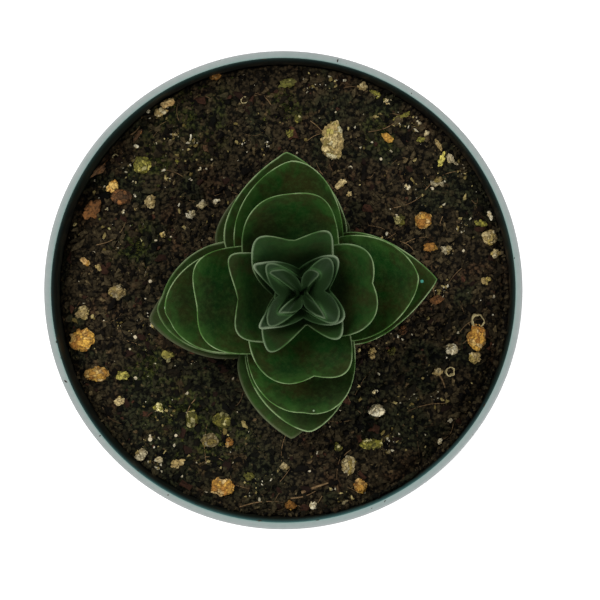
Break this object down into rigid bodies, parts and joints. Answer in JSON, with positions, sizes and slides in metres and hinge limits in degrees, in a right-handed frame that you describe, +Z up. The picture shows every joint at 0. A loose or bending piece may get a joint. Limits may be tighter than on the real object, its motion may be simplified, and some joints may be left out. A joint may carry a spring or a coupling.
{
  "type": "potted buddhas temple crassula",
  "caption": "Small succulent with crossed pairs of dark green leaves stacked round a short stem, standing in the soil of a round plastic nursery pot.",
  "frame": {"origin": "centre of the pot's foot, on the surface that it stands on", "axes": "+Z up along the pot's axis; +X to the right and +Y to the back as the plant is seen from the front; the leaf ranks are turned 5.5 degrees from X and Y"},
  "size_m": [0.08, 0.08, 0.0966],
  "materials": {
    "pot_plastic": "satin",
    "soil": "matte",
    "leaf": "satin",
    "stone_pumice": "matte",
    "stone_orange": "matte",
    "stone_cream": "matte",
    "stone_green": "matte",
    "stone_white": "matte",
    "stone_bark": "matte"
  },
  "bodies": {
    "root": {"pot": "pot_plastic", "soil": "soil", "stem_and_shoot_tip": "leaf", "leaf_pair_01": "leaf", "leaf_pair_02": "leaf", "leaf_pair_03": "leaf", "leaf_pair_04": "leaf", "leaf_pair_05": "leaf", "leaf_pair_06": "leaf", "leaf_pair_07": "leaf", "leaf_pair_08": "leaf", "leaf_pair_09": "leaf", "leaf_pair_10": "leaf", "leaf_pair_11": "leaf", "stone_01": "stone_pumice", "stone_02": "stone_orange", "stone_03": "stone_cream", "stone_04": "stone_orange", "stone_05": "stone_cream", "stone_06": "stone_orange", "stone_07": "stone_green", "stone_08": "stone_cream", "stone_09": "stone_orange", "stone_10": "stone_orange", "stone_11": "stone_green", "stone_12": "stone_cream", "stone_13": "stone_white", "stone_14": "stone_green", "stone_15": "stone_bark", "stone_16": "stone_white", "stone_17": "stone_orange", "stone_18": "stone_green"}
  },
  "joints": []
}
